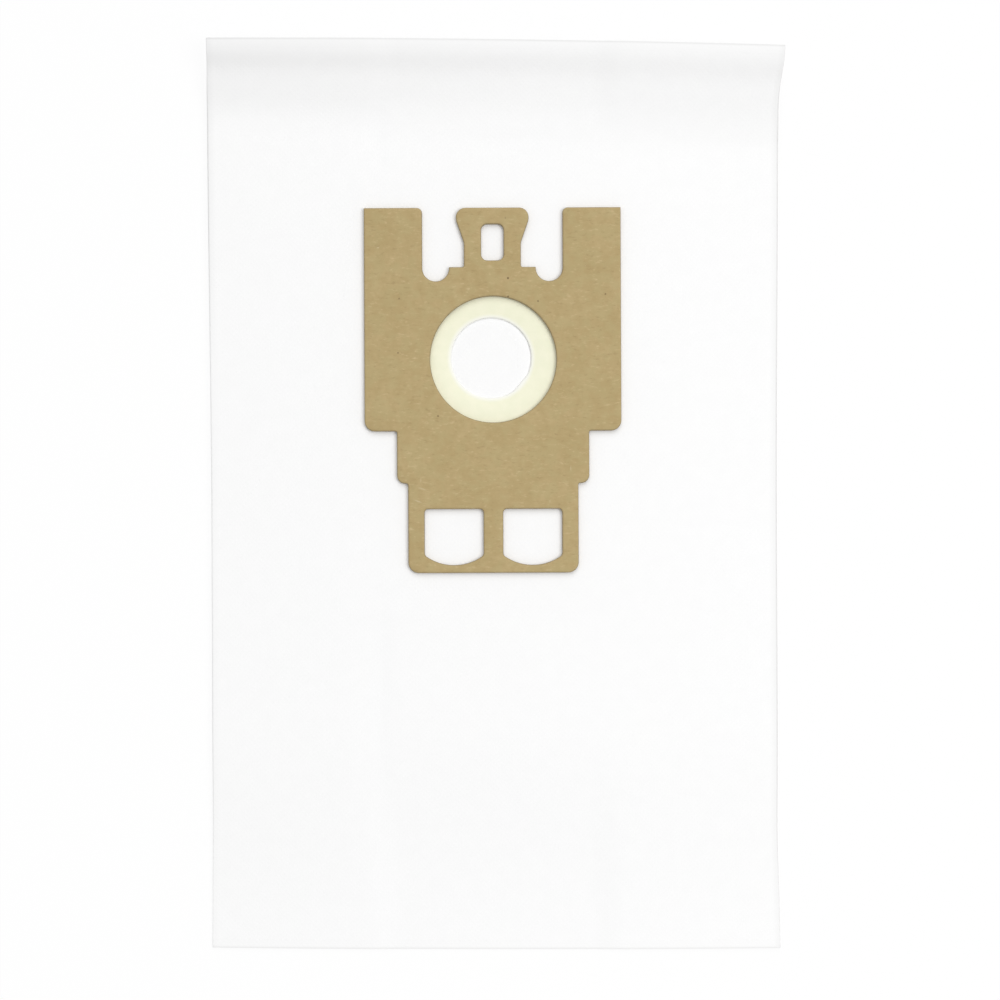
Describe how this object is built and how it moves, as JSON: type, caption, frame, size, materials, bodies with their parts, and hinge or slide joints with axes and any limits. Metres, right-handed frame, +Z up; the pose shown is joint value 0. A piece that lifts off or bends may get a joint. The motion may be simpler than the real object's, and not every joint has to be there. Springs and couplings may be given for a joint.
{
  "type": "vacuum cleaner dust bag",
  "caption": "Flat side-gusseted nonwoven dust bag for a vacuum cleaner, with a notched board collar and a rubber seal round its inlet.",
  "frame": {"origin": "the middle of the bag's outline, on the surface that its back lies on", "axes": "+X across the bag to the right, +Y along it towards the curled end and the collar's prongs, +Z up through the collar"},
  "size_m": [0.2448, 0.3872, 0.0161],
  "materials": {
    "fleece": "matte",
    "greyboard": "matte",
    "seal_rubber": "matte"
  },
  "bodies": {
    "root": {"dust_bag": "fleece", "collar_plate": "greyboard", "inlet_seal": "seal_rubber"}
  },
  "joints": []
}
